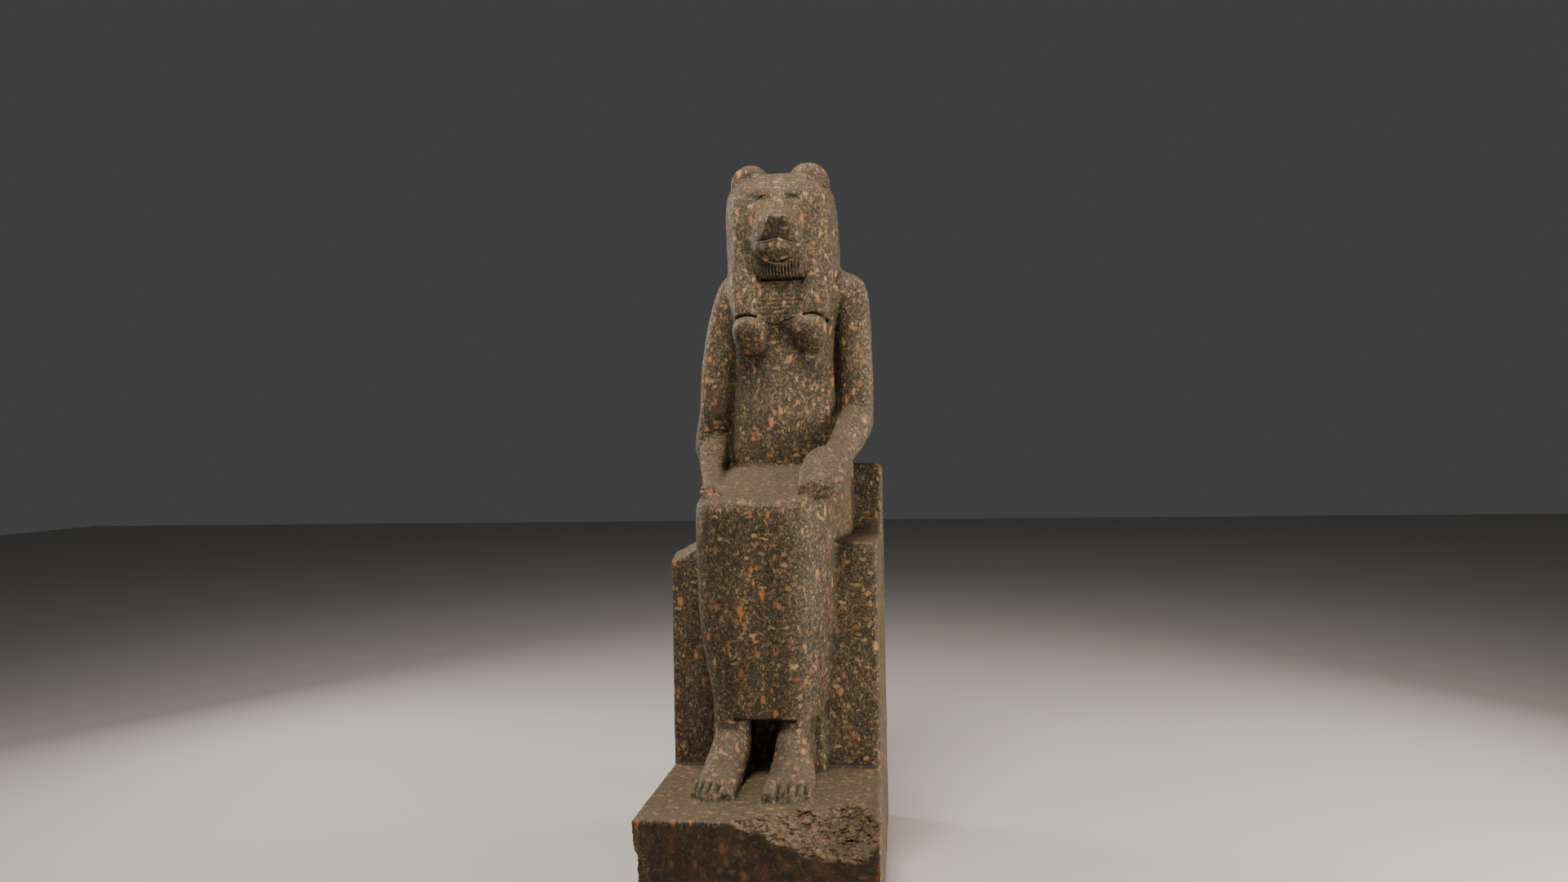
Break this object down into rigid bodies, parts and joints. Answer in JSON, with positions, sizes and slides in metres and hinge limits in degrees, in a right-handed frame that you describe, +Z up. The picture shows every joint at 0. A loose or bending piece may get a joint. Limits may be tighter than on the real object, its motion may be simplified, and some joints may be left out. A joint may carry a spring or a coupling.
{
  "type": "seated lion-headed goddess statue",
  "caption": "Seated statue of a lion-headed goddess on a low-backed throne, carved with its foot slab from one block of dark stone; worn, one forearm broken off.",
  "frame": {"origin": "middle of the foot slab's underside, on the floor", "axes": "+Z up the statue; +Y from the slab's front edge to the throne's back, so the goddess looks along -Y; +X to the viewer's right, her left"},
  "size_m": [0.5949, 0.95, 2.0097],
  "materials": {
    "stone": "worn dark grey-brown granodiorite with ochre and pink feldspar flecks, low sheen"
  },
  "bodies": {
    "root": {"statue": "stone"}
  },
  "joints": []
}
